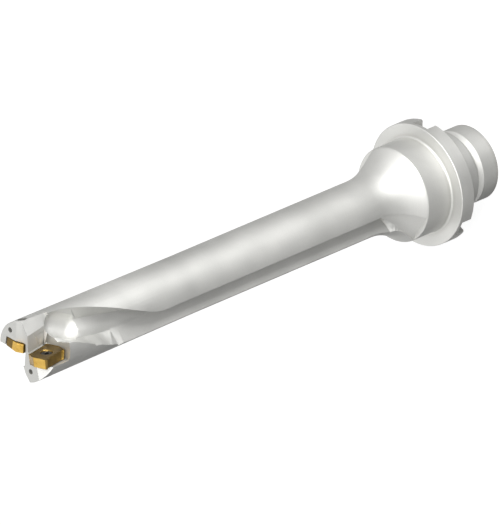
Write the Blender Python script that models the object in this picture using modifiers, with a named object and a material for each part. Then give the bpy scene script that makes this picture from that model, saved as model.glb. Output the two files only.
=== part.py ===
"""Right-hand indexable drill with a spigot coupling, standing on the end of its spigot.

The axis is +Z with the cutting tip at the top, the origin is the middle of the spigot's end face,
and all sizes are metres. Azimuths are degrees from +X towards +Y, seen from the tip, where the drill
turns towards rising azimuths as it cuts.
"""

import math

import bmesh
import bpy
from mathutils import Matrix, Vector

# Coupling: collar, groove and hub of the spigot, then the flange
COLLAR_DIAMETER = 0.0304
COLLAR_LENGTH = 0.0092
COLLAR_END_CHAMFER = 0.0006
COLLAR_FRONT_CHAMFER = 0.0008
GROOVE_WIDTH = 0.0035
GROOVE_DEPTH = 0.0014
HUB_DIAMETER = 0.0336
HUB_LENGTH = 0.0106
HUB_EDGE_ROUND = 0.0008
FLANGE_DIAMETER = 0.050
FLANGE_THICKNESS = 0.0071
FLANGE_REAR_CHAMFER = 0.0007
FLANGE_FRONT_BREAK = 0.0002
RIM_THICKNESS = 0.0017
NOTCH_COUNT = 3
NOTCH_WIDTH = 0.0078
NOTCH_DEPTH = 0.0038
NOTCH_AZIMUTH = -34.0

# Bore in the spigot, where the coupling's draw screw and the coolant enter
BORE_DIAMETER = 0.0160
BORE_DEPTH = 0.0120
BORE_LIP_WIDTH = 0.0030
BORE_LIP_DIAMETER = 0.0130
COOLANT_WELL_DIAMETER = 0.0090
COOLANT_WELL_DEPTH = 0.0340
BORE_CHAMFER = 0.0008

# Boss and neck
BOSS_DIAMETER = 0.0386
BOSS_LENGTH = 0.0126
BOSS_FILLET = 0.0009
NECK_CREASE_ANGLE = 24.2
NECK_CONE_ANGLE = 38.0
NECK_DOME_RADIUS = 0.0041
NECK_ROOT_RADIUS = 0.0277

# Fluted body
BODY_DIAMETER = 0.02366
HEAD_DIAMETER = 0.0248
TAPER_LENGTH = 0.0850
BODY_LENGTH = 0.1817
FRONT_CHAMFER = 0.0004

# Flutes: azimuths on the straight stretch, and the depths below the tip between which each edge turns
FLUTE_LEAD_AZIMUTH = 193.0
FLUTE_TRAIL_AZIMUTH = 237.5
FLUTE_TWIST_LEAD = 0.1756
LEAD_TWIST_END = 0.0140
LEAD_TWIST_START = 0.0449
TRAIL_TWIST_END = 0.0180
TRAIL_TWIST_START = 0.0609
TWIST_EASE = 0.0020
ROOT_CHANGE_DEPTH = 0.0489
ROOT_CHANGE_LENGTH = 0.0140
OVERCUT = 0.0040
STRAIGHT_ROOT_RADIUS = 0.00636
STRAIGHT_ROOT_LAG = 22.0
TWISTED_ROOT_RADIUS = 0.0054
TRAIL_ROOT_RADIUS = 0.0060
TRAIL_ROOT_LAG = 5.0
FLOOR_HOLLOW = 0.0003

# Run-out of the flutes through the neck
RUN_OUT_DEPTH = 0.0027
RUN_OUT_WALL_RADIUS = 0.0020
RUN_OUT_RIDGE_AZIMUTH = 181.0
RUN_OUT_RIDGE_BOW = 0.0020
RUN_OUT_TRAIL_TURN = 13.0

# Tip: rake planes, chip spaces and front faces
CENTRAL_AZIMUTH = 51.0
CENTRAL_RAKE_OFFSET = 0.0004
PERIPHERAL_AZIMUTH = 240.0
PERIPHERAL_RAKE_OFFSET = -0.0003
CENTRAL_SPACE_LENGTH = 0.0080
PERIPHERAL_SPACE_LENGTH = 0.0132
SPACE_OVERLAP = 0.0008
SPACE_HEIGHT = 0.0060
PERIPHERAL_WALL_LEAN = 10.5
PERIPHERAL_WALL_HEIGHT = 0.0069
PERIPHERAL_WALL_REAR_HEIGHT = 0.0087
PERIPHERAL_WALL_FLARE = 0.0016
PERIPHERAL_WALL_GAP = 0.0003
TRAIL_FACE_AZIMUTH = 333.5
TRAIL_FACE_REAR_AZIMUTH = 330.5
CENTRAL_SPACE_WALL = ((0.0012, 0.0026), (0.0004, 0.0053), (-0.0016, 0.0088), (-0.0040, 0.0113))
FRONT_STEP = 0.0012
CHAMFER_WIDTH = 0.0029
CHAMFER_AZIMUTH = 234.0
CHAMFER_OFFSET = 0.0039
CORNER_RELIEF_AZIMUTH = 252.0
CORNER_RELIEF_ANGLE = 38.0
CORNER_RELIEF_OFFSET = 0.0052
DOME_RADIUS = 0.0052
DOME_CENTRE = (0.0047, -0.0067)
DOME_DEPTH = 0.0155
DOME_LENGTH = 0.0062
DOME_SHIFT = -0.0032

# Inserts, as half outlines (along the edge, along the axis) that repeat turned half round
CENTRAL_MIDDLE = (0.0043, 0.0033)
CENTRAL_OUTLINE = ((-0.0045, 0.0030), (-0.0019, 0.0044), (0.0006, 0.0040), (0.0042, 0.0034), (0.0047, 0.0029))
CENTRAL_THICKNESS = 0.0034
PERIPHERAL_MIDDLE = (0.0063, 0.0067)
PERIPHERAL_OUTLINE = ((-0.0038, 0.0059), (-0.0001, 0.0070), (0.0054, 0.0060), (0.0061, 0.0052),
                      (0.0053, 0.0042), (0.0036, -0.0046))
PERIPHERAL_THICKNESS = 0.0041
INSERT_CLEARANCE_ANGLE = 5.0
INSERT_HOLE_DIAMETER = 0.0040
INSERT_SEAT_DIAMETER = 0.0050
INSERT_SEAT_DEPTH = 0.0012
INSERT_LAND = 0.00025
INSERT_DISH_WIDTH = 0.0004
INSERT_DISH_DEPTH = 0.00015
SEAT_GAP = 0.0003

# Insert screws
SCREW_HEAD_DIAMETER = 0.0042
SCREW_HEAD_SUNK = 0.0005
SCREW_RIM_HEIGHT = 0.0003
SCREW_EDGE_BREAK = 0.0002
SCREW_CONE_HEIGHT = 0.0008
SCREW_SHANK_DIAMETER = 0.0030
SCREW_LENGTH = 0.0085
SOCKET_DIAMETER = 0.0024
SOCKET_DEPTH = 0.0010
SOCKET_LOBES = 6

# Coolant passages
COOLANT_DIAMETER = 0.0022
COOLANT_RADIUS = 0.0083
COOLANT_START_RADIUS = 0.0022
COOLANT_START_DEPTH = 0.0030
COOLANT_BEND_Z = 0.0520
COOLANT_AZIMUTH = 305.0
CENTRAL_OUTLET_RADIUS = 0.0098
PERIPHERAL_OUTLET_RADIUS = 0.0081
PERIPHERAL_OUTLET_LAG = 17.0

# Facets
ROUND_STEPS = 72
FLUTE_STEP = 0.0036
RUN_OUT_STEP = 0.0015

END_Z = 0.0
GROOVE_Z = END_Z + COLLAR_LENGTH
HUB_Z = GROOVE_Z + GROOVE_WIDTH
FLANGE_REAR_Z = HUB_Z + HUB_LENGTH
FLANGE_FRONT_Z = FLANGE_REAR_Z + FLANGE_THICKNESS
CREASE_Z = FLANGE_FRONT_Z + BOSS_LENGTH


def radians(angle):
    return math.radians(angle)


def polar(radius, azimuth, z=0.0):
    """A point at a radius and an azimuth in degrees."""
    return Vector((radius * math.cos(radians(azimuth)), radius * math.sin(radians(azimuth)), z))


def arc(centre, radius, start, end, steps):
    """Points of an arc in the (radius, z) plane, from one angle in degrees to another."""
    points = []
    for step in range(steps + 1):
        angle = radians(start + (end - start) * step / steps)
        points.append((centre[0] + radius * math.cos(angle), centre[1] + radius * math.sin(angle)))
    return points


def neck_profile():
    """Neck outline from the body down to the crease on the boss, as (radius, z) points."""
    body = BODY_DIAMETER / 2
    boss = BOSS_DIAMETER / 2
    crease, cone = NECK_CREASE_ANGLE, NECK_CONE_ANGLE
    dome_centre = (boss - NECK_DOME_RADIUS * math.cos(radians(crease)),
                   CREASE_Z - NECK_DOME_RADIUS * math.sin(radians(crease)))
    dome = arc(dome_centre, NECK_DOME_RADIUS, cone, crease, 3)
    root_width = NECK_ROOT_RADIUS * (1 - math.cos(radians(cone)))
    straight_height = (dome[0][0] - body - root_width) / math.tan(radians(cone))
    root_start = dome[0][1] + straight_height
    root_centre = (body + NECK_ROOT_RADIUS, root_start + NECK_ROOT_RADIUS * math.sin(radians(cone)))
    root = arc(root_centre, NECK_ROOT_RADIUS, 180, 180 + cone, 10)
    return root + dome


NECK_PROFILE = neck_profile()
NECK_TOP_Z = NECK_PROFILE[0][1]
FRONT_Z = NECK_TOP_Z + BODY_LENGTH


def neck_radius(z):
    """Radius of the neck or of what lies beyond it at a height."""
    if z <= CREASE_Z:
        return BOSS_DIAMETER / 2
    for upper, lower in zip(NECK_PROFILE, NECK_PROFILE[1:]):
        if lower[1] <= z <= upper[1]:
            share = (z - lower[1]) / (upper[1] - lower[1])
            return lower[0] + (upper[0] - lower[0]) * share
    return body_radius(z)


def body_radius(z):
    """Outer radius of the fluted body, which tapers from the head."""
    share = min(1.0, max(0.0, (FRONT_Z - z) / TAPER_LENGTH))
    return (HEAD_DIAMETER + (BODY_DIAMETER - HEAD_DIAMETER) * share) / 2


def start_empty():
    """Clear the scene and make the collections for the parts and for the cutters."""
    for item in list(bpy.data.objects):
        bpy.data.objects.remove(item)
    parts = bpy.data.collections.new("indexable_drill")
    cutters = bpy.data.collections.new("cutters")
    bpy.context.scene.collection.children.link(parts)
    bpy.context.scene.collection.children.link(cutters)
    return parts, cutters


PARTS, CUTTERS = start_empty()


def material(name, colour, roughness, metallic):
    made = bpy.data.materials.new(name)
    made.use_nodes = True
    shader = made.node_tree.nodes["Principled BSDF"]
    shader.inputs["Base Color"].default_value = (*colour, 1.0)
    shader.inputs["Roughness"].default_value = roughness
    shader.inputs["Metallic"].default_value = metallic
    return made


def add_object(name, mesh, collection, look=None):
    item = bpy.data.objects.new(name, mesh)
    collection.objects.link(item)
    if look:
        mesh.materials.append(look)
    return item


def as_cutter(item):
    item.hide_render = True
    item.display_type = "WIRE"
    return item


def cut(target, cutter):
    step = target.modifiers.new("cut " + cutter.name, "BOOLEAN")
    step.operation = "DIFFERENCE"
    step.solver = "EXACT"
    step.object = cutter
    return step


def apply_modifiers(item):
    """Replace an object's mesh with its evaluated one, so that later cuts start from it."""
    graph = bpy.context.evaluated_depsgraph_get()
    graph.update()
    mesh = bpy.data.meshes.new_from_object(item.evaluated_get(graph))
    old = item.data
    item.modifiers.clear()
    item.data = mesh
    bpy.data.meshes.remove(old)


def turned(name, profile, collection, steps=ROUND_STEPS, look=None):
    """A turned solid from a (radius, z) profile that runs down its outer side."""
    mesh = bpy.data.meshes.new(name)
    mesh.from_pydata([(r, 0.0, z) for r, z in profile], [(i, i + 1) for i in range(len(profile) - 1)], [])
    item = add_object(name, mesh, collection, look)
    screw = item.modifiers.new("turn", "SCREW")
    screw.steps = steps
    screw.render_steps = steps
    screw.use_merge_vertices = True
    screw.merge_threshold = 0.00001
    return item


def loft(name, rings, collection, look=None):
    """A closed solid through rings that have the same number of points."""
    made = bmesh.new()
    loops = [[made.verts.new(point) for point in ring] for ring in rings]
    for below, above in zip(loops, loops[1:]):
        for i in range(len(below)):
            j = (i + 1) % len(below)
            made.faces.new((below[i], below[j], above[j], above[i]))
    made.faces.new(list(reversed(loops[0])))
    made.faces.new(loops[-1])
    bmesh.ops.recalc_face_normals(made, faces=made.faces)
    mesh = bpy.data.meshes.new(name)
    made.to_mesh(mesh)
    made.free()
    return add_object(name, mesh, collection, look)


def cylinder(name, radius, start, end, collection, steps=24, end_radius=None, look=None):
    """A cylinder, or a cone with end_radius, between two points."""
    axis = end - start
    made = bmesh.new()
    bmesh.ops.create_cone(made, cap_ends=True, segments=steps, radius1=radius,
                          radius2=radius if end_radius is None else end_radius, depth=axis.length)
    turn = Vector((0, 0, 1)).rotation_difference(axis).to_matrix().to_4x4()
    bmesh.ops.transform(made, matrix=Matrix.Translation((start + end) / 2) @ turn, verts=made.verts)
    mesh = bpy.data.meshes.new(name)
    made.to_mesh(mesh)
    made.free()
    return add_object(name, mesh, collection, look)


def soften(item, angle=30.0):
    item.data.shade_smooth()
    item.data.set_sharp_from_angle(angle=radians(angle))


def spigot_profile():
    """Outline of the flange's rear side and the spigot, down to the bore, as (radius, z) points."""
    flange = FLANGE_DIAMETER / 2
    hub = HUB_DIAMETER / 2
    collar = COLLAR_DIAMETER / 2
    floor = collar - GROOVE_DEPTH
    bore = BORE_DIAMETER / 2
    lip = BORE_LIP_DIAMETER / 2
    well = COOLANT_WELL_DIAMETER / 2
    round_centre = (hub - HUB_EDGE_ROUND, HUB_Z + HUB_EDGE_ROUND)
    return (
        [(flange, FLANGE_REAR_Z + FLANGE_REAR_CHAMFER), (flange - FLANGE_REAR_CHAMFER, FLANGE_REAR_Z),
         (hub, FLANGE_REAR_Z)]
        + arc(round_centre, HUB_EDGE_ROUND, 0, -90, 4)
        + [(floor, HUB_Z), (floor, GROOVE_Z + COLLAR_FRONT_CHAMFER),
           (collar - COLLAR_FRONT_CHAMFER, GROOVE_Z), (collar, GROOVE_Z - COLLAR_FRONT_CHAMFER),
           (collar, END_Z + COLLAR_END_CHAMFER), (collar - COLLAR_END_CHAMFER, END_Z),
           (lip + BORE_CHAMFER, END_Z), (lip, END_Z + BORE_CHAMFER), (lip, END_Z + BORE_LIP_WIDTH),
           (bore, END_Z + BORE_LIP_WIDTH + bore - lip), (bore, END_Z + BORE_DEPTH),
           (well, END_Z + BORE_DEPTH + bore - well), (well, END_Z + COOLANT_WELL_DEPTH),
           (0.0, END_Z + COOLANT_WELL_DEPTH + well * 0.6)])


def body_profile():
    """Outline of the whole turned blank, from the middle of the tip to the end of the bore."""
    head = HEAD_DIAMETER / 2
    boss = BOSS_DIAMETER / 2
    flange = FLANGE_DIAMETER / 2
    fillet_centre = (boss + BOSS_FILLET, FLANGE_FRONT_Z + BOSS_FILLET)
    return (
        [(0.0, FRONT_Z), (head - FRONT_CHAMFER, FRONT_Z), (head, FRONT_Z - FRONT_CHAMFER),
         (BODY_DIAMETER / 2, FRONT_Z - TAPER_LENGTH)]
        + NECK_PROFILE
        + arc(fillet_centre, BOSS_FILLET, 180, 270, 6)
        + [(flange - FLANGE_FRONT_BREAK, FLANGE_FRONT_Z), (flange, FLANGE_FRONT_Z - FLANGE_FRONT_BREAK)]
        + spigot_profile())


def ramp(height, start, end):
    """Grows by one for each metre between two heights, with eased ends."""
    def soft(distance):
        scaled = distance / TWIST_EASE
        if scaled > 30:
            return distance
        return TWIST_EASE * math.log1p(math.exp(scaled))
    return soft(height - start) - soft(height - end)


def ease(value):
    value = min(1.0, max(0.0, value))
    return value * value * (3 - 2 * value)


def lead_azimuth(z):
    """Azimuth of the flute's leading edge, the corner in front of the peripheral insert's lobe."""
    turn = ramp(z, FRONT_Z - LEAD_TWIST_START, FRONT_Z - LEAD_TWIST_END)
    return FLUTE_LEAD_AZIMUTH + 360 / FLUTE_TWIST_LEAD * turn


def trail_azimuth(z):
    """Azimuth of the flute's trailing edge."""
    turn = ramp(z, FRONT_Z - TRAIL_TWIST_START, FRONT_Z - TRAIL_TWIST_END)
    return FLUTE_TRAIL_AZIMUTH + 360 / FLUTE_TWIST_LEAD * turn


def flute_section(z, turn):
    """Flute outline at one height: far wall, root, ridge, floor, trailing edge and far corner."""
    outside = FLANGE_DIAMETER / 2
    twisted = ease((z - (FRONT_Z - ROOT_CHANGE_DEPTH)) / ROOT_CHANGE_LENGTH)
    lead = lead_azimuth(z)
    trail = trail_azimuth(z)
    root_radius = STRAIGHT_ROOT_RADIUS + (TWISTED_ROOT_RADIUS - STRAIGHT_ROOT_RADIUS) * twisted
    corner = polar(BODY_DIAMETER / 2, lead)
    root = polar(root_radius, lead + STRAIGHT_ROOT_LAG * (1 - twisted))
    wall = (corner - root).normalized()
    trail_root = polar(TRAIL_ROOT_RADIUS, trail + TRAIL_ROOT_LAG)
    ridge = root + (trail_root - root) * 0.3
    run_out_top = NECK_TOP_Z - RUN_OUT_DEPTH
    drop = max(0.0, run_out_top - z)
    if drop:
        share = min(1.2, drop / (run_out_top - CREASE_Z))
        neck = neck_radius(z)
        root = root + wall * min(outside, drop * drop / (2 * RUN_OUT_WALL_RADIUS))
        ridge_end = polar(BOSS_DIAMETER / 2, RUN_OUT_RIDGE_AZIMUTH)
        ridge = ridge + (ridge_end - ridge) * share
        ridge.y -= RUN_OUT_RIDGE_BOW * 4 * share * (1 - share)
        trail -= RUN_OUT_TRAIL_TURN * share
        trail_root = trail_root + (polar(neck, trail) - trail_root) * min(1.0, share ** 0.8)
    trail_edge = polar(neck_radius(z), trail)
    floor = [root + (ridge - root) * share for share in (0, 0.5)]
    across = trail_root - ridge
    sideways = Vector((-across.y, across.x, 0)).normalized()
    if sideways.dot(ridge + trail_root) > 0:
        sideways = -sideways
    steps = 5
    for step in range(steps + 1):
        share = step / steps
        floor.append(ridge + across * share + sideways * FLOOR_HOLLOW * 4 * share * (1 - share))
    points = [root + wall * (outside + OVERCUT), *floor, trail_edge,
              trail_edge.normalized() * (outside + OVERCUT)]
    spin = Matrix.Rotation(radians(turn), 3, "Z")
    section = [spin @ Vector((point.x, point.y, 0)) for point in points]
    for point in section:
        point.z = z
    return section


def heights(bottom, top, step):
    count = max(1, round((top - bottom) / step))
    return [bottom + (top - bottom) * i / count for i in range(count + 1)]


def flute_cutter(name, turn, top):
    levels = heights(CREASE_Z + 0.0003, NECK_TOP_Z, RUN_OUT_STEP)
    levels += heights(NECK_TOP_Z, FRONT_Z - TRAIL_TWIST_START - 3 * TWIST_EASE, 0.030)[1:]
    levels += heights(levels[-1], top, FLUTE_STEP)[1:]
    return as_cutter(loft(name, [flute_section(z, turn) for z in levels], CUTTERS))


class Seat:
    """Frame of one insert: rho runs out along the cutting edge, rise against the rake face."""

    def __init__(self, azimuth, offset, middle, outline, thickness):
        self.out = polar(1, azimuth)
        self.up = polar(1, azimuth + 90)
        self.azimuth = azimuth
        self.offset = offset
        self.middle = middle
        self.outline = list(outline) + [(-a, -b) for a, b in outline]
        self.thickness = thickness

    def point(self, rho, z, rise=0.0):
        flat = self.out * rho + self.up * (self.offset + rise)
        return Vector((flat.x, flat.y, z))

    def ring(self, grow, rise):
        """The insert's outline, grown by a distance and set at a height over the rake face."""
        points = []
        count = len(self.outline)
        for i, (a, b) in enumerate(self.outline):
            before = Vector(self.outline[i - 1])
            here = Vector((a, b))
            after = Vector(self.outline[(i + 1) % count])
            first = (here - before).normalized()
            second = (after - here).normalized()
            side = Vector((-(first + second).y, (first + second).x)).normalized()
            length = grow / max(0.5, side.dot(Vector((-first.y, first.x))))
            spot = here + side * length
            points.append(self.point(self.middle[0] + spot.x, FRONT_Z - self.middle[1] + spot.y, rise))
        return points

    def hole_point(self, rise):
        return self.point(self.middle[0], FRONT_Z - self.middle[1], rise)


CENTRAL = Seat(CENTRAL_AZIMUTH, CENTRAL_RAKE_OFFSET, CENTRAL_MIDDLE, CENTRAL_OUTLINE, CENTRAL_THICKNESS)
PERIPHERAL = Seat(PERIPHERAL_AZIMUTH, PERIPHERAL_RAKE_OFFSET, PERIPHERAL_MIDDLE, PERIPHERAL_OUTLINE,
                  PERIPHERAL_THICKNESS)


def make_insert(name, seat, look):
    """An insert with clearance flanks and a countersunk hole."""
    narrow = seat.thickness * math.tan(radians(INSERT_CLEARANCE_ANGLE))
    dish = seat.ring(-INSERT_LAND - INSERT_DISH_WIDTH, -INSERT_DISH_DEPTH)
    insert = loft(name, [seat.ring(-narrow, -seat.thickness), seat.ring(0, 0), seat.ring(-INSERT_LAND, 0), dish],
                  PARTS, look)
    top = seat.hole_point(INSERT_SEAT_DEPTH)
    hole = cylinder(name + "_hole", INSERT_HOLE_DIAMETER / 2, seat.hole_point(-2 * seat.thickness), top,
                    CUTTERS, 20)
    depth = INSERT_SEAT_DEPTH
    slope = (INSERT_SEAT_DIAMETER - INSERT_HOLE_DIAMETER) / 2 / depth
    sink = cylinder(name + "_seat", INSERT_HOLE_DIAMETER / 2 - slope * depth / 4, seat.hole_point(-depth * 1.25),
                    top, CUTTERS, 20, end_radius=INSERT_SEAT_DIAMETER / 2 + slope * depth)
    for cutter in (hole, sink):
        cut(insert, as_cutter(cutter))
    apply_modifiers(insert)
    soften(insert, 25)
    return insert


def make_screw(name, seat, look):
    """A countersunk screw with a six-lobed socket, seated in its insert."""
    head = SCREW_HEAD_DIAMETER / 2
    shank = SCREW_SHANK_DIAMETER / 2
    cone_end = SCREW_RIM_HEIGHT + SCREW_CONE_HEIGHT
    edge = SCREW_EDGE_BREAK
    profile = [(0.0, 0.0), (head - edge, 0.0), (head, -edge), (head, -SCREW_RIM_HEIGHT), (shank, -cone_end),
               (shank, -SCREW_LENGTH + 2 * edge), (shank - 2 * edge, -SCREW_LENGTH), (0.0, -SCREW_LENGTH)]
    screw = turned(name, profile, PARTS, 20, look)
    rings = []
    for depth in (-SOCKET_DEPTH, SOCKET_DEPTH):
        ring = []
        for i in range(SOCKET_LOBES * 4):
            angle = 360 * i / (SOCKET_LOBES * 4)
            reach = SOCKET_DIAMETER / 2 * (0.88 + 0.12 * math.cos(radians(angle * SOCKET_LOBES)))
            ring.append(polar(reach, angle, depth))
        rings.append(ring)
    cutter = as_cutter(loft(name + "_socket", rings, CUTTERS))
    cut(screw, cutter)
    apply_modifiers(screw)
    place = Matrix.Translation(seat.hole_point(-SCREW_HEAD_SUNK))
    place = place @ Vector((0, 0, 1)).rotation_difference(seat.up).to_matrix().to_4x4()
    for item in (screw, cutter):
        item.matrix_world = place
    soften(screw)
    return screw


def pocket_cutter(name, seat, open_outwards):
    """The insert's pocket: its outline with the seat gap, open to the front and, if asked, outwards."""
    narrow = seat.thickness * math.tan(radians(INSERT_CLEARANCE_ANGLE))
    beyond = HEAD_DIAMETER / 2
    low = seat.ring(SEAT_GAP - narrow, -seat.thickness - SEAT_GAP)
    middle = seat.ring(SEAT_GAP, 0)
    high = seat.ring(SEAT_GAP, SPACE_HEIGHT)
    half = len(seat.outline) // 2
    for ring in (low, middle, high):
        for i in range(0, half):
            if seat.outline[i][1] > 0:
                ring[i].z += 2 * OVERCUT
        if open_outwards:
            for i in range(half - 4, half + 1):
                ring[i].x += seat.out.x * beyond
                ring[i].y += seat.out.y * beyond
    return as_cutter(loft(name, [low, middle, high], CUTTERS))


def peripheral_space_cutter():
    """Chip space over the peripheral insert: rake plane, leaning inner wall and the lobe's trailing face."""
    seat = PERIPHERAL
    beyond = FLANGE_DIAMETER
    inner_front = seat.middle[0] + seat.outline[0][0] - PERIPHERAL_WALL_GAP
    rear = FRONT_Z - PERIPHERAL_SPACE_LENGTH
    rings = []
    for z in heights(rear, FRONT_Z + OVERCUT, OVERCUT):
        share = (FRONT_Z - z) / PERIPHERAL_SPACE_LENGTH
        inner = inner_front - (FRONT_Z - z) * math.tan(radians(PERIPHERAL_WALL_LEAN))
        azimuth = TRAIL_FACE_AZIMUTH + (TRAIL_FACE_REAR_AZIMUTH - TRAIL_FACE_AZIMUTH) * share
        height = PERIPHERAL_WALL_HEIGHT + (PERIPHERAL_WALL_REAR_HEIGHT - PERIPHERAL_WALL_HEIGHT) * share
        corner = polar(HEAD_DIAMETER / 2, azimuth, z)
        crest = seat.point(inner + PERIPHERAL_WALL_FLARE * share, z, height)
        far = seat.point(beyond, z)
        rings.append([seat.point(inner, z), far, far + seat.up * beyond, corner + (corner - crest), crest])
    return as_cutter(loft("peripheral_space_cutter", rings, CUTTERS))


def central_space_cutter():
    """Chip space over the central insert."""
    seat = CENTRAL
    beyond = FLANGE_DIAMETER
    inner = seat.middle[0] + seat.outline[0][0] - SEAT_GAP
    rings = []
    for z in (FRONT_Z - CENTRAL_SPACE_LENGTH, FRONT_Z + OVERCUT):
        wall = [seat.point(rho, z, rise) for rho, rise in CENTRAL_SPACE_WALL]
        wall.append(wall[-1] + (wall[-1] - wall[-2]) * 4)
        rings.append([seat.point(inner, z), seat.point(beyond, z), seat.point(beyond, z, beyond),
                      *reversed(wall)])
    return as_cutter(loft("central_space_cutter", rings, CUTTERS))


def plane_cutter(name, point, normal):
    """A block that removes what lies beyond a plane."""
    size = HEAD_DIAMETER
    made = bmesh.new()
    bmesh.ops.create_cube(made, size=2 * size)
    turn = Vector((0, 0, 1)).rotation_difference(normal).to_matrix().to_4x4()
    bmesh.ops.transform(made, matrix=Matrix.Translation(point + normal * size) @ turn, verts=made.verts)
    mesh = bpy.data.meshes.new(name)
    made.to_mesh(mesh)
    made.free()
    return as_cutter(add_object(name, mesh, CUTTERS))


def front_step_cutter():
    """Lowers the peripheral insert's lobe and the web, and leaves a broad chamfer on the other lobe."""
    way = polar(1, CHAMFER_AZIMUTH)
    along = polar(1, CHAMFER_AZIMUTH + 90)
    low = FRONT_Z - FRONT_STEP
    start = -CHAMFER_OFFSET
    beyond = HEAD_DIAMETER
    outline = [(start - CHAMFER_WIDTH, FRONT_Z + FRONT_STEP), (start + CHAMFER_WIDTH, low), (beyond, low),
               (beyond, FRONT_Z + 2 * OVERCUT), (start - CHAMFER_WIDTH, FRONT_Z + 2 * OVERCUT)]
    rings = [[way * w + along * side + Vector((0, 0, z)) for w, z in outline] for side in (-beyond, beyond)]
    return as_cutter(loft("front_step_cutter", rings, CUTTERS))


def corner_relief_cutter():
    """Relief on the front of the peripheral insert's lobe, under the insert's corner."""
    way = polar(1, CORNER_RELIEF_AZIMUTH)
    tilt = radians(CORNER_RELIEF_ANGLE)
    edge = way * CORNER_RELIEF_OFFSET + Vector((0, 0, FRONT_Z - FRONT_STEP))
    return plane_cutter("corner_relief_cutter", edge, way * math.sin(tilt) + Vector((0, 0, math.cos(tilt))))


def dome_cutter():
    """The ball-milled end of the flute, as a ball moved a short way along it."""
    upper = Vector((*DOME_CENTRE, FRONT_Z - DOME_DEPTH))
    lower = upper + Vector((DOME_SHIFT, 0, -DOME_LENGTH))
    axis = upper - lower
    profile = [(r, z + axis.length) for r, z in arc((0, 0), DOME_RADIUS, 90, 0, 8)]
    profile += arc((0, 0), DOME_RADIUS, 0, -90, 8)
    dome = turned("dome_cutter", profile, CUTTERS, 24)
    apply_modifiers(dome)
    turn = Vector((0, 0, 1)).rotation_difference(axis).to_matrix().to_4x4()
    dome.matrix_world = Matrix.Translation(lower) @ turn
    return as_cutter(dome)


def notch_cutters():
    inner = FLANGE_DIAMETER / 2 - NOTCH_DEPTH
    outer = FLANGE_DIAMETER / 2 + NOTCH_DEPTH
    top = FLANGE_FRONT_Z - RIM_THICKNESS
    bottom = FLANGE_REAR_Z - RIM_THICKNESS
    cutters = []
    for i in range(NOTCH_COUNT):
        made = bmesh.new()
        bmesh.ops.create_cube(made, size=1.0)
        size = Matrix.Diagonal((outer - inner, NOTCH_WIDTH, top - bottom, 1))
        centre = Matrix.Translation(((inner + outer) / 2, 0, (top + bottom) / 2))
        turn = Matrix.Rotation(radians(NOTCH_AZIMUTH + 360 / NOTCH_COUNT * i), 4, "Z")
        bmesh.ops.transform(made, matrix=turn @ centre @ size, verts=made.verts)
        mesh = bpy.data.meshes.new("notch_cutter")
        made.to_mesh(mesh)
        made.free()
        cutters.append(as_cutter(add_object("notch_cutter_%d" % (i + 1), mesh, CUTTERS)))
    return cutters


def tube_between(name, points, diameter, collection, sides=8):
    """A closed tube along a run of points, as rings that all face along the run."""
    rings = []
    for i, point in enumerate(points):
        before = points[max(0, i - 1)]
        after = points[min(len(points) - 1, i + 1)]
        frame = Vector((0, 0, 1)).rotation_difference(after - before).to_matrix()
        rings.append([point + frame @ polar(diameter / 2, 360 * k / sides) for k in range(sides)])
    return as_cutter(loft(name, rings, collection))


def coolant_cutter(name, start_azimuth, outlet_radius, outlet_lag):
    """A coolant passage: out of the well, along the lobe, and round with it to the front face."""
    well_top = END_Z + COOLANT_WELL_DEPTH - COOLANT_START_DEPTH
    levels = [well_top, (well_top + COOLANT_BEND_Z) / 2, COOLANT_BEND_Z, COOLANT_BEND_Z + 2 * COOLANT_DIAMETER]
    levels += heights(FRONT_Z - LEAD_TWIST_START - 3 * TWIST_EASE, FRONT_Z - LEAD_TWIST_END + TWIST_EASE, 0.006)
    levels += [FRONT_Z + OVERCUT]
    total = lead_azimuth(FRONT_Z) - FLUTE_LEAD_AZIMUTH
    points = []
    for z in levels:
        share = min(1.0, (z - well_top) / (COOLANT_BEND_Z - well_top))
        radius = COOLANT_START_RADIUS + (COOLANT_RADIUS - COOLANT_START_RADIUS) * share
        turned_share = (lead_azimuth(z) - FLUTE_LEAD_AZIMUTH) / total
        radius += (outlet_radius - COOLANT_RADIUS) * turned_share
        points.append(polar(radius, start_azimuth + (total - outlet_lag) * turned_share, z))
    return tube_between(name, points, COOLANT_DIAMETER, CUTTERS)


def make_body(look):
    body = turned("drill_body", body_profile(), PARTS, look=look)
    cutters = [flute_cutter("flute_a_cutter", 0, FRONT_Z - PERIPHERAL_SPACE_LENGTH + SPACE_OVERLAP),
               flute_cutter("flute_b_cutter", 180, FRONT_Z - CENTRAL_SPACE_LENGTH + SPACE_OVERLAP)]
    cutters += [peripheral_space_cutter(), central_space_cutter(), front_step_cutter(), corner_relief_cutter(),
                dome_cutter()]
    cutters += [pocket_cutter("peripheral_pocket_cutter", PERIPHERAL, True),
                pocket_cutter("central_pocket_cutter", CENTRAL, False)]
    hole = SCREW_SHANK_DIAMETER / 2 + SEAT_GAP
    for name, seat, depth in (("central_screw_hole", CENTRAL, 0.020),
                              ("peripheral_screw_hole", PERIPHERAL, SCREW_HEAD_SUNK + SCREW_LENGTH + 0.001)):
        start = seat.hole_point(-seat.thickness)
        cutters.append(as_cutter(cylinder(name, hole, start, seat.hole_point(-depth), CUTTERS, 16)))
    cutters += notch_cutters()
    cutters += [coolant_cutter("central_coolant", COOLANT_AZIMUTH, CENTRAL_OUTLET_RADIUS, 0.0),
                coolant_cutter("peripheral_coolant", COOLANT_AZIMUTH - 180, PERIPHERAL_OUTLET_RADIUS,
                               PERIPHERAL_OUTLET_LAG)]
    for cutter in cutters:
        cut(body, cutter)
        apply_modifiers(body)
    soften(body)
    return body


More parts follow.
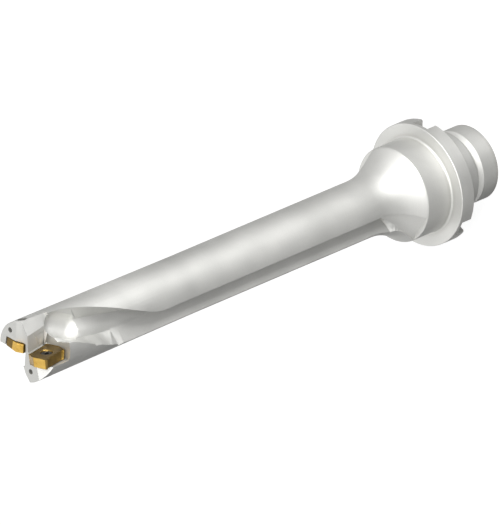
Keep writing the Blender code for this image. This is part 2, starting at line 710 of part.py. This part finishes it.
def build():
    steel = material("satin steel", (0.62, 0.62, 0.59), 0.35, 1.0)
    coating = material("gold brown coating", (0.45, 0.32, 0.08), 0.3, 1.0)
    dark = material("dark screw steel", (0.10, 0.10, 0.10), 0.4, 1.0)
    make_body(steel)
    make_insert("central_insert", CENTRAL, coating)
    make_insert("peripheral_insert", PERIPHERAL, coating)
    make_screw("central_insert_screw", CENTRAL, dark)
    make_screw("peripheral_insert_screw", PERIPHERAL, dark)


build()
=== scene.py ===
"""Dresses the indexable drill: finer inserts and screws, steel and coating materials, lights and camera."""
import math

import bmesh
import bpy
from mathutils import Matrix, Vector


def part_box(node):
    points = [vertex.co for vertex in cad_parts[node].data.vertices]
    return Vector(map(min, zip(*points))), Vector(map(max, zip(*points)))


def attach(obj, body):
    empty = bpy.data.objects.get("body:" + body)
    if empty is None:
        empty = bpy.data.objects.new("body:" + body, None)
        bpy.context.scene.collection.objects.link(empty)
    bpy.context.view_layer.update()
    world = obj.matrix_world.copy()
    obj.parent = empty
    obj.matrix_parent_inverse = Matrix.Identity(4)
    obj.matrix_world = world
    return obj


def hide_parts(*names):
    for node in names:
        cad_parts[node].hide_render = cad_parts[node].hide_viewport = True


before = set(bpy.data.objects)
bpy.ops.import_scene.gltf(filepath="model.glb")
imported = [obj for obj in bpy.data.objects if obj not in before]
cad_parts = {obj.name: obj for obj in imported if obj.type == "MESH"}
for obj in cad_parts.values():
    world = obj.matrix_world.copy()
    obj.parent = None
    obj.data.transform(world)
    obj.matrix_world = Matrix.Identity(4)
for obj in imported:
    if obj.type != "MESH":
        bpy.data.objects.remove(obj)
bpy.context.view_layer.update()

# The photograph's view, as a long lens that stands far off
METRES_PER_PIXEL = 0.025 / 65.0
VIEW_ELEVATION_COSINE = 0.6388
IMAGE_ROLL = 23.05
AXIS_ROW = 333.6
SPIGOT_COLUMN = 371.0
IMAGE_SIZE = (500, 525)
LENS = 1200.0
LENS_SHIFT = (-1.9, 1.3)
SENSOR = 36.0
MIDDLE_DEPTH = 0.078

# Tip of the drill and its two insert seats, as the CAD has them
FRONT_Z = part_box("drill_body")[1][2]
CENTRAL_AZIMUTH = 51.0
CENTRAL_RAKE_OFFSET = 0.0004
CENTRAL_MIDDLE = (0.0043, 0.0033)
CENTRAL_OUTLINE = ((-0.0045, 0.0030), (-0.0019, 0.0044), (0.0006, 0.0040), (0.0042, 0.0034), (0.0047, 0.0029))
CENTRAL_THICKNESS = 0.0034
PERIPHERAL_AZIMUTH = 240.0
PERIPHERAL_RAKE_OFFSET = -0.0003
PERIPHERAL_MIDDLE = (0.0063, 0.0067)
PERIPHERAL_OUTLINE = ((-0.0038, 0.0059), (-0.0001, 0.0070), (0.0054, 0.0060), (0.0061, 0.0052),
                      (0.0053, 0.0042), (0.0036, -0.0046))
PERIPHERAL_THICKNESS = 0.0041

# Sides of each insert that show the lit golden coating, counted round its outline; the other sides take a
# darker copy of it as painted shade
CENTRAL_LIT_SIDES = (0, 1, 4, 5)
PERIPHERAL_LIT_SIDES = (1, 5, 6, 7)

# Inserts and screws
CLEARANCE_ANGLE = 5.0
CORNER_ROUND = 0.00025
CORNER_STEPS = 4
RIM = ((0.0, 0.0), (-0.00008, 0.00003), (-0.00018, 0.0), (-0.00030, -0.00010), (-0.00042, -0.00015),
       (-0.00054, -0.00012), (-0.00064, -0.00006))
FOOT_BREAK = 0.00015
EDGE_LAND = 0.00006
HOLE_DIAMETER = 0.0040
SEAT_DIAMETER = 0.0050
SEAT_DEPTH = 0.0012
HOLE_STEPS = 48
SCREW_HEAD = 0.0042
SCREW_SUNK = 0.0005
SCREW_SHANK = 0.0030
SCREW_LENGTH = 0.0085
SCREW_RIM = 0.0003
SCREW_CONE = 0.0008
THREAD_PITCH = 0.0005
SOCKET_DIAMETER = 0.0024
SOCKET_DEPTH = 0.0010
SOCKET_LOBES = 6
LOBE_DEPTH = 0.12

# Broken edges of the body
EDGE_BREAK = 0.00012
EDGE_ANGLE = 24.0
WELD_DISTANCE = 0.000002

# Darkest and lightest tones of the steel and of the blackened screws
STEEL_TONES = ((0.0, (0.545, 0.545, 0.525)), (1.0, (0.600, 0.598, 0.578)))
SCREW_TONES = ((0.0, (0.010, 0.009, 0.008)), (1.0, (0.022, 0.020, 0.018)))

# Floor and world: the level shown to the camera, to mirrored rays, and as light
FLOOR_REACH = 6.0
FLOOR_GLOW = 0.90
FLOOR_GLOSSY_GLOW = 0.06
FLOOR_TONES = ((0.0, (0.25, 0.25, 0.25)), (1.0, (0.27, 0.27, 0.27)))
WORLD_LIGHT = 0.05
WORLD_WHITE = 1.0

# Soft lamps: name, azimuth, elevation, width, height, watts; all aim at the drill's middle
LAMPS = (("high_lamp", 276, 52, 0.66, 0.46, 7.8),
         ("low_lamp", 302, 5, 0.40, 0.22, 9.4),
         ("back_lamp", 96, 4, 0.50, 0.22, 2.6))
LAMP_TARGET = (0, 0, 0.12)
LAMP_DISTANCE = 0.9


def polar(radius, azimuth, z=0.0):
    """A point at a radius and an azimuth in degrees."""
    angle = math.radians(azimuth)
    return Vector((radius * math.cos(angle), radius * math.sin(angle), z))


def link(name, mesh):
    """A new object on the scene's collection."""
    item = bpy.data.objects.new(name, mesh)
    bpy.context.scene.collection.objects.link(item)
    return item


def shade(item, angle):
    """Smooth shading with the edges sharper than an angle kept crisp."""
    mesh = item.data
    work = bmesh.new()
    work.from_mesh(mesh)
    for face in work.faces:
        face.smooth = True
    limit = math.radians(angle)
    for edge in work.edges:
        edge.smooth = len(edge.link_faces) == 2 and edge.calc_face_angle(0.0) < limit
    work.to_mesh(mesh)
    work.free()


def fine_edges(item):
    """Modifiers that join the facets of a CAD solid and break its edges a little, as a real one's are."""
    mesh = item.data
    normals = mesh.attributes.get("custom_normal")
    if normals is not None:
        mesh.attributes.remove(normals)
    for polygon in mesh.polygons:
        polygon.use_smooth = True
    weld = item.modifiers.new("join", "WELD")
    weld.merge_threshold = WELD_DISTANCE
    bevel = item.modifiers.new("edge_break", "BEVEL")
    bevel.width = EDGE_BREAK
    bevel.segments = 2
    bevel.limit_method = "ANGLE"
    bevel.angle_limit = math.radians(EDGE_ANGLE)
    bevel.use_clamp_overlap = True
    bevel.miter_outer = "MITER_ARC"
    even = item.modifiers.new("even_normals", "WEIGHTED_NORMAL")
    even.mode = "FACE_AREA"
    even.weight = 60


# Materials


class Nodes:
    """Short calls for building one material's node tree."""

    def __init__(self, name):
        self.material = bpy.data.materials.new(name)
        self.material.use_nodes = True
        self.tree = self.material.node_tree
        self.shader = self.tree.nodes["Principled BSDF"]
        self.place = self.add("ShaderNodeTexCoord").outputs["Object"]

    def add(self, kind, **values):
        node = self.tree.nodes.new(kind)
        for key, value in values.items():
            setattr(node, key, value)
        return node

    def link(self, source, target):
        self.tree.links.new(source, target)

    def noise(self, scale, detail=3.0, stretch=(1.0, 1.0, 1.0), rough=0.5):
        mapping = self.add("ShaderNodeMapping")
        mapping.inputs["Scale"].default_value = stretch
        self.link(self.place, mapping.inputs["Vector"])
        node = self.add("ShaderNodeTexNoise")
        node.inputs["Scale"].default_value = scale
        node.inputs["Detail"].default_value = detail
        node.inputs["Roughness"].default_value = rough
        self.link(mapping.outputs["Vector"], node.inputs["Vector"])
        return node.outputs["Fac"]

    def spread(self, source, low, high, start=0.3, end=0.7):
        node = self.add("ShaderNodeMapRange")
        node.inputs["From Min"].default_value = start
        node.inputs["From Max"].default_value = end
        node.inputs["To Min"].default_value = low
        node.inputs["To Max"].default_value = high
        self.link(source, node.inputs["Value"])
        return node.outputs["Result"]

    def sum(self, first, second, operation="ADD"):
        node = self.add("ShaderNodeMath", operation=operation)
        for socket, value in zip(node.inputs, (first, second)):
            if isinstance(value, float):
                socket.default_value = value
            else:
                self.link(value, socket)
        return node.outputs[0]

    def ramp(self, source, stops):
        node = self.add("ShaderNodeValToRGB")
        points = node.color_ramp.elements
        while len(points) < len(stops):
            points.new(0.5)
        for point, (place, colour) in zip(points, stops):
            point.position = place
            point.color = (*colour, 1.0)
        self.link(source, node.inputs["Fac"])
        return node.outputs["Color"]

    def blend(self, factor, first, second, mode="MIX"):
        node = self.add("ShaderNodeMix", data_type="RGBA", blend_type=mode)
        for socket, value in zip((node.inputs[0], node.inputs[6], node.inputs[7]), (factor, first, second)):
            if isinstance(value, float):
                socket.default_value = value
            elif isinstance(value, tuple):
                socket.default_value = (*value, 1.0)
            else:
                self.link(value, socket)
        return node.outputs[2]

    def hollows(self, distance):
        """One in the open, falling to nought in corners and holes."""
        node = self.add("ShaderNodeAmbientOcclusion", samples=8)
        node.inputs["Distance"].default_value = distance
        return node.outputs["AO"]

    def bump(self, parts, distance):
        normal = None
        for height, strength in parts:
            node = self.add("ShaderNodeBump")
            node.inputs["Strength"].default_value = strength
            node.inputs["Distance"].default_value = distance
            self.link(height, node.inputs["Height"])
            if normal is not None:
                self.link(normal, node.inputs["Normal"])
            normal = node.outputs["Normal"]
        self.link(normal, self.shader.inputs["Normal"])

    def finish(self, colour, rough, metallic):
        self.link(colour, self.shader.inputs["Base Color"])
        self.link(rough, self.shader.inputs["Roughness"])
        self.shader.inputs["Metallic"].default_value = metallic
        return self.material


def steel():
    """Satin nickel-plated steel: a fine blasted grain, faint turning lines and painted shade that darkens its
    corners and holes.
    """
    look = Nodes("satin_steel")
    cloud = look.noise(45.0, 4.0)
    grain = look.noise(5200.0, 2.0)
    lines = look.noise(900.0, 3.0, (0.03, 0.03, 4.0), 0.65)
    tone = look.ramp(look.spread(cloud, 0.0, 1.0), STEEL_TONES)
    grit = look.spread(grain, 0.95, 1.03)
    tone = look.blend(1.0, tone, grit, "MULTIPLY")
    # Painted shade: the steel is multiplied darker where the occlusion mask finds corners and holes
    painted_corner_shade = look.spread(look.hollows(0.0035), 0.0, 1.0, 0.25, 0.85)
    tone = look.blend(painted_corner_shade, look.blend(1.0, tone, (0.62, 0.61, 0.58), "MULTIPLY"), tone)
    rough = look.sum(look.spread(cloud, 0.52, 0.62), look.spread(lines, -0.03, 0.03))
    look.bump(((lines, 0.10), (grain, 0.12)), 0.00003)
    return look.finish(tone, rough, 0.82)


def coating(name, low, high, rough_low, rough_high):
    """Hard golden nitride: fine grain, slow changes of tint, brighter worn spots and painted shade in its
    corners.
    """
    look = Nodes(name)
    cloud = look.noise(320.0, 3.0)
    grain = look.noise(9000.0, 2.0)
    grind = look.noise(2600.0, 2.0, (1.0, 1.0, 0.12), 0.6)
    tone = look.ramp(look.spread(cloud, 0.0, 1.0), ((0.0, low), (1.0, high)))
    tone = look.blend(1.0, tone, look.spread(grain, 0.92, 1.05), "MULTIPLY")
    # Painted shade: the coating is multiplied darker where the occlusion mask finds corners and holes
    painted_corner_shade = look.spread(look.hollows(0.0012), 0.0, 1.0, 0.2, 0.8)
    tone = look.blend(painted_corner_shade, look.blend(1.0, tone, (0.45, 0.40, 0.34), "MULTIPLY"), tone)
    rough = look.sum(look.spread(cloud, rough_low, rough_high), look.spread(grind, -0.03, 0.03))
    look.bump(((grind, 0.10), (grain, 0.14)), 0.00002)
    return look.finish(tone, rough, 0.92)


def black_steel():
    """Blackened screw steel, a little oily, with painted shade darkening the corners of the socket."""
    look = Nodes("black_screw_steel")
    cloud = look.noise(900.0, 3.0)
    grain = look.noise(7000.0, 2.0)
    tone = look.ramp(look.spread(cloud, 0.0, 1.0), SCREW_TONES)
    # Painted shade: a near-black colour fills the corners of the socket through the occlusion mask
    painted_corner_shade = look.spread(look.hollows(0.0010), 0.0, 1.0, 0.2, 0.8)
    tone = look.blend(painted_corner_shade, (0.006, 0.005, 0.005), tone)
    rough = look.spread(cloud, 0.34, 0.46)
    look.bump(((grain, 0.15),), 0.00002)
    return look.finish(tone, rough, 0.30)


STEEL = steel()
FLANK = coating("golden_coating", (0.60, 0.36, 0.075), (0.80, 0.53, 0.13), 0.26, 0.36)
# The rake and side coatings below are the golden coating made darker, as painted shade on faces turned from
# the light
SHADED_RAKE = coating("gold_coating_painted_rake_shade", (0.130, 0.082, 0.022), (0.215, 0.140, 0.040), 0.30, 0.42)
SHADED_SIDE = coating("gold_coating_painted_side_shade", (0.150, 0.094, 0.022), (0.240, 0.155, 0.040), 0.46, 0.58)
SCREW = black_steel()


# Inserts and screws, finer than the solids that they stand for


class Seat:
    """Frame of one insert: along runs out on the cutting edge, rise stands off the rake face."""

    def __init__(self, azimuth, offset, middle, outline, thickness, lit_sides):
        self.lit_sides = lit_sides
        self.out = polar(1, azimuth)
        self.up = polar(1, azimuth + 90)
        self.offset = offset
        self.middle = middle
        self.thickness = thickness
        half = list(outline) + [(-a, -b) for a, b in outline]
        self.outline = rounded([Vector(point) for point in half])

    def sides(self):
        """The material number of each step round the rounded outline."""
        steps = CORNER_STEPS + 1
        corners = len(self.outline) // steps
        numbers = []
        for i in range(len(self.outline)):
            corner = i // steps
            side = corner if i % steps >= CORNER_STEPS / 2 else (corner - 1) % corners
            # Sides off the lit list get material 2, the darker copy of the coating that paints their shade
            numbers.append(0 if side in self.lit_sides else 2)
        return numbers

    def spot(self, across, along, rise):
        flat = self.out * (self.middle[0] + across) + self.up * (self.offset + rise)
        return Vector((flat.x, flat.y, FRONT_Z - self.middle[1] + along))

    def ring(self, grow, rise):
        """The rounded outline grown by a distance, at a height over the rake face."""
        points = []
        count = len(self.outline)
        for i, here in enumerate(self.outline):
            first = (here - self.outline[i - 1]).normalized()
            second = (self.outline[(i + 1) % count] - here).normalized()
            side = Vector((-(first + second).y, (first + second).x)).normalized()
            reach = here + side * (grow / max(0.5, side.dot(Vector((-first.y, first.x)))))
            points.append(self.spot(reach.x, reach.y, rise))
        return points

    def circle(self, radius, rise):
        points = []
        for i in range(HOLE_STEPS):
            angle = math.tau * i / HOLE_STEPS
            points.append(self.spot(radius * math.cos(angle), radius * math.sin(angle), rise))
        return points


def rounded(corners):
    """The outline with each corner turned into a small arc."""
    points = []
    count = len(corners)
    for i, here in enumerate(corners):
        before = corners[i - 1]
        after = corners[(i + 1) % count]
        reach = min(CORNER_ROUND, (before - here).length * 0.4, (after - here).length * 0.4)
        first = here + (before - here).normalized() * reach
        last = here + (after - here).normalized() * reach
        for step in range(CORNER_STEPS + 1):
            share = step / CORNER_STEPS
            points.append(first * (1 - share) ** 2 + here * 2 * share * (1 - share) + last * share ** 2)
    return points


def bridge(work, first, second, material):
    """Quads between two closed rings of the same length."""
    count = len(first)
    for i in range(count):
        face = work.faces.new((first[i], first[(i + 1) % count], second[(i + 1) % count], second[i]))
        face.material_index = material[i] if isinstance(material, list) else material


def annulus(work, outer, inner, material):
    """Fills the flat between an outer and an inner ring."""
    edges = []
    for ring in (outer, inner):
        for i, vertex in enumerate(ring):
            other = ring[(i + 1) % len(ring)]
            edges.append(work.edges.get((vertex, other)) or work.edges.new((vertex, other)))
    made = bmesh.ops.triangle_fill(work, use_beauty=True, use_dissolve=False, edges=edges)
    for face in made["geom"]:
        if isinstance(face, bmesh.types.BMFace):
            face.material_index = material


def detailed_insert(name, node, seat):
    """An insert with a raised cutting edge, a chip groove behind it and a countersunk hole."""
    work = bmesh.new()
    narrow = math.tan(math.radians(CLEARANCE_ANGLE))
    deep = seat.thickness
    body = [(-deep * narrow - FOOT_BREAK, -deep), (-deep * narrow, -deep + FOOT_BREAK),
            (-deep * narrow * 0.5, -deep * 0.5), (-EDGE_LAND * narrow, -EDGE_LAND * 2)]
    outer = [[work.verts.new(point) for point in seat.ring(grow, rise)] for grow, rise in body]
    rims = [[work.verts.new(point) for point in seat.ring(grow, rise)] for grow, rise in RIM]
    cone = (SEAT_DIAMETER - HOLE_DIAMETER) / 2
    wall = [(SEAT_DIAMETER / 2 + 0.00012, RIM[-1][1]), (SEAT_DIAMETER / 2, RIM[-1][1] - 0.00010),
            (HOLE_DIAMETER / 2 + cone * 0.5, -SEAT_DEPTH * 0.5), (HOLE_DIAMETER / 2, -SEAT_DEPTH),
            (HOLE_DIAMETER / 2, -seat.thickness)]
    holes = [[work.verts.new(point) for point in seat.circle(radius, rise)] for radius, rise in wall]
    sides = seat.sides()
    for first, second in zip(outer, outer[1:]):
        bridge(work, first, second, sides)
    bridge(work, outer[-1], rims[0], sides)
    bridge(work, rims[0], rims[1], sides)
    # Material 1 on the rake face and the hole is the darker copy of the coating, painted shade
    for first, second in zip(rims[1:], rims[2:]):
        bridge(work, first, second, 1)
    annulus(work, rims[-1], holes[0], 1)
    for first, second in zip(holes, holes[1:]):
        bridge(work, first, second, 1)
    annulus(work, outer[0], holes[-1], 0)
    bmesh.ops.recalc_face_normals(work, faces=work.faces)
    mesh = bpy.data.meshes.new(name)
    work.to_mesh(mesh)
    work.free()
    item = link(name, mesh)
    # Materials 1 and 2 are darker copies of the golden coating, painted shade on faces turned from the light
    for look in (FLANK, SHADED_RAKE, SHADED_SIDE):
        mesh.materials.append(look)
    shade(item, 28)
    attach(item, "root")
    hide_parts(node)
    return item


def detailed_screw(name, node, seat):
    """A countersunk screw with a six-lobed socket and a fine thread on its shank."""
    steps = 96
    head = SCREW_HEAD / 2
    shank = SCREW_SHANK / 2
    work = bmesh.new()

    def lobed(radius):
        radii = []
        for i in range(steps):
            wave = math.cos(math.tau * SOCKET_LOBES * i / steps)
            radii.append(radius * (1 - LOBE_DEPTH + LOBE_DEPTH * wave))
        return radii

    def ring(radii, depth):
        vertices = []
        for i in range(steps):
            angle = math.tau * i / steps
            vertices.append(work.verts.new((radii[i] * math.cos(angle), radii[i] * math.sin(angle), -depth)))
        return vertices

    def even(radius):
        return [radius] * steps

    socket = SOCKET_DIAMETER / 2
    rings = [ring(lobed(socket * 0.45), SOCKET_DEPTH + 0.00012), ring(lobed(socket * 0.97), SOCKET_DEPTH),
             ring(lobed(socket), 0.00012), ring(lobed(socket + 0.00007), 0.00003),
             ring(even(socket + 0.00020), 0.0), ring(even(head - 0.00015), 0.0),
             ring(even(head - 0.00004), 0.00004), ring(even(head), 0.00015), ring(even(head), SCREW_RIM),
             ring(even(shank), SCREW_RIM + SCREW_CONE)]
    depth = SCREW_RIM + SCREW_CONE + THREAD_PITCH / 2
    while depth < SCREW_LENGTH - THREAD_PITCH:
        rings.append(ring(even(shank - 0.00018), depth))
        rings.append(ring(even(shank), depth + THREAD_PITCH / 2))
        depth += THREAD_PITCH
    rings.append(ring(even(shank - 0.00030), SCREW_LENGTH))
    for first, second in zip(rings, rings[1:]):
        bridge(work, first, second, 0)
    work.faces.new(rings[0])
    work.faces.new(rings[-1])
    bmesh.ops.recalc_face_normals(work, faces=work.faces)
    turn = Vector((0, 0, 1)).rotation_difference(seat.up).to_matrix().to_4x4()
    place = Matrix.Translation(seat.spot(0.0, 0.0, -SCREW_SUNK)) @ turn
    bmesh.ops.transform(work, matrix=place, verts=work.verts)
    mesh = bpy.data.meshes.new(name)
    work.to_mesh(mesh)
    work.free()
    item = link(name, mesh)
    mesh.materials.append(SCREW)
    shade(item, 32)
    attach(item, "root")
    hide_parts(node)
    return item


CENTRAL = Seat(CENTRAL_AZIMUTH, CENTRAL_RAKE_OFFSET, CENTRAL_MIDDLE, CENTRAL_OUTLINE, CENTRAL_THICKNESS,
               CENTRAL_LIT_SIDES)
PERIPHERAL = Seat(PERIPHERAL_AZIMUTH, PERIPHERAL_RAKE_OFFSET, PERIPHERAL_MIDDLE, PERIPHERAL_OUTLINE,
                  PERIPHERAL_THICKNESS, PERIPHERAL_LIT_SIDES)
detailed_insert("central_insert_fine", "central_insert", CENTRAL)
detailed_insert("peripheral_insert_fine", "peripheral_insert", PERIPHERAL)
detailed_screw("central_screw_fine", "central_insert_screw", CENTRAL)
detailed_screw("peripheral_screw_fine", "peripheral_insert_screw", PERIPHERAL)


# The body keeps its solid, with its own steel and crisp edges only where it has edges

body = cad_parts["drill_body"]
body.data.materials.clear()
body.data.materials.append(STEEL)
fine_edges(body)
for name in ("central_insert", "peripheral_insert"):
    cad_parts[name].data.materials.clear()
    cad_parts[name].data.materials.append(FLANK)
for name in ("central_insert_screw", "peripheral_insert_screw"):
    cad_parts[name].data.materials.clear()
    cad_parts[name].data.materials.append(SCREW)


# Floor, world and lamps


def floor_material():
    """Pale matt floor that shows near white and keeps the shadow."""
    look = Nodes("pale_floor")
    look.tree.nodes.remove(look.shader)
    out = look.tree.nodes["Material Output"]
    path = look.add("ShaderNodeLightPath")
    direct = look.sum(path.outputs["Is Camera Ray"], path.outputs["Is Transmission Ray"], "MAXIMUM")
    mirrored = look.sum(path.outputs["Is Glossy Ray"], FLOOR_GLOSSY_GLOW, "MULTIPLY")
    glow = look.add("ShaderNodeEmission")
    glow.inputs["Color"].default_value = (1.0, 1.0, 1.0, 1.0)
    look.link(look.sum(look.sum(direct, FLOOR_GLOW, "MULTIPLY"), mirrored), glow.inputs["Strength"])
    matt = look.add("ShaderNodeBsdfDiffuse")
    tone = look.ramp(look.noise(6.0, 2.0), FLOOR_TONES)
    look.link(tone, matt.inputs["Color"])
    both = look.add("ShaderNodeAddShader")
    look.link(glow.outputs[0], both.inputs[0])
    look.link(matt.outputs[0], both.inputs[1])
    look.link(both.outputs[0], out.inputs["Surface"])
    return look.material


floor_mesh = bpy.data.meshes.new("floor")
floor_mesh.from_pydata([(-FLOOR_REACH, -FLOOR_REACH, 0), (FLOOR_REACH, -FLOOR_REACH, 0),
                        (FLOOR_REACH, FLOOR_REACH, 0), (-FLOOR_REACH, FLOOR_REACH, 0)], [], [(0, 1, 2, 3)])
floor = link("floor", floor_mesh)
floor_mesh.materials.append(floor_material())

world = bpy.data.worlds.new("studio")
world.use_nodes = True
bpy.context.scene.world = world
tree = world.node_tree
path = tree.nodes.new("ShaderNodeLightPath")
seen = path.outputs["Is Camera Ray"]
for ray in ("Is Glossy Ray", "Is Transmission Ray"):
    either = tree.nodes.new("ShaderNodeMath")
    either.operation = "MAXIMUM"
    tree.links.new(seen, either.inputs[0])
    tree.links.new(path.outputs[ray], either.inputs[1])
    seen = either.outputs[0]
level = tree.nodes.new("ShaderNodeMapRange")
level.inputs["To Min"].default_value = WORLD_LIGHT
level.inputs["To Max"].default_value = WORLD_WHITE
background = tree.nodes["Background"]
tree.links.new(seen, level.inputs["Value"])
tree.links.new(level.outputs["Result"], background.inputs["Strength"])
background.inputs["Color"].default_value = (1.0, 1.0, 1.0, 1.0)


def softbox(name, azimuth, elevation, width, height, watts):
    """A soft rectangular lamp aimed at the drill's middle; the azimuth is a plain polar angle."""
    lamp = bpy.data.lights.new(name, "AREA")
    lamp.shape = "RECTANGLE"
    lamp.size = width
    lamp.size_y = height
    lamp.energy = watts
    item = bpy.data.objects.new(name, lamp)
    bpy.context.scene.collection.objects.link(item)
    slope = math.radians(elevation)
    away = polar(math.cos(slope), azimuth, math.sin(slope))
    item.location = Vector(LAMP_TARGET) + away * LAMP_DISTANCE
    item.rotation_euler = away.to_track_quat("Z", "Y").to_euler()


for row in LAMPS:
    softbox(*row)


# Camera

camera_data = bpy.data.cameras.new("photo_view")
camera_data.lens = LENS
camera_data.sensor_width = SENSOR
camera_data.clip_start = 0.01
camera_data.clip_end = 60.0
camera = bpy.data.objects.new("photo_view", camera_data)
bpy.context.scene.collection.objects.link(camera)
sine = math.sqrt(1 - VIEW_ELEVATION_COSINE ** 2)
towards = Vector((0, -sine, VIEW_ELEVATION_COSINE))
along = Vector((0, -VIEW_ELEVATION_COSINE, -sine))
aside = Vector((-1, 0, 0))
roll = math.radians(IMAGE_ROLL)
right = math.cos(roll) * along + math.sin(roll) * aside
down = -math.sin(roll) * along + math.cos(roll) * aside
centre_x = IMAGE_SIZE[0] / 2 + LENS_SHIFT[0]
centre_y = IMAGE_SIZE[1] / 2 + LENS_SHIFT[1]
column = math.cos(roll) * centre_x - math.sin(roll) * centre_y
row = math.sin(roll) * centre_x + math.cos(roll) * centre_y
distance = IMAGE_SIZE[1] * METRES_PER_PIXEL * LENS / SENSOR
spot = (along * (column - SPIGOT_COLUMN) + aside * (row - AXIS_ROW)) * METRES_PER_PIXEL
turn = Matrix((right, -down, towards)).transposed().to_4x4()
camera.matrix_world = Matrix.Translation(spot + towards * (MIDDLE_DEPTH + distance)) @ turn
bpy.context.scene.camera = camera
bpy.context.scene.view_settings.view_transform = "Standard"
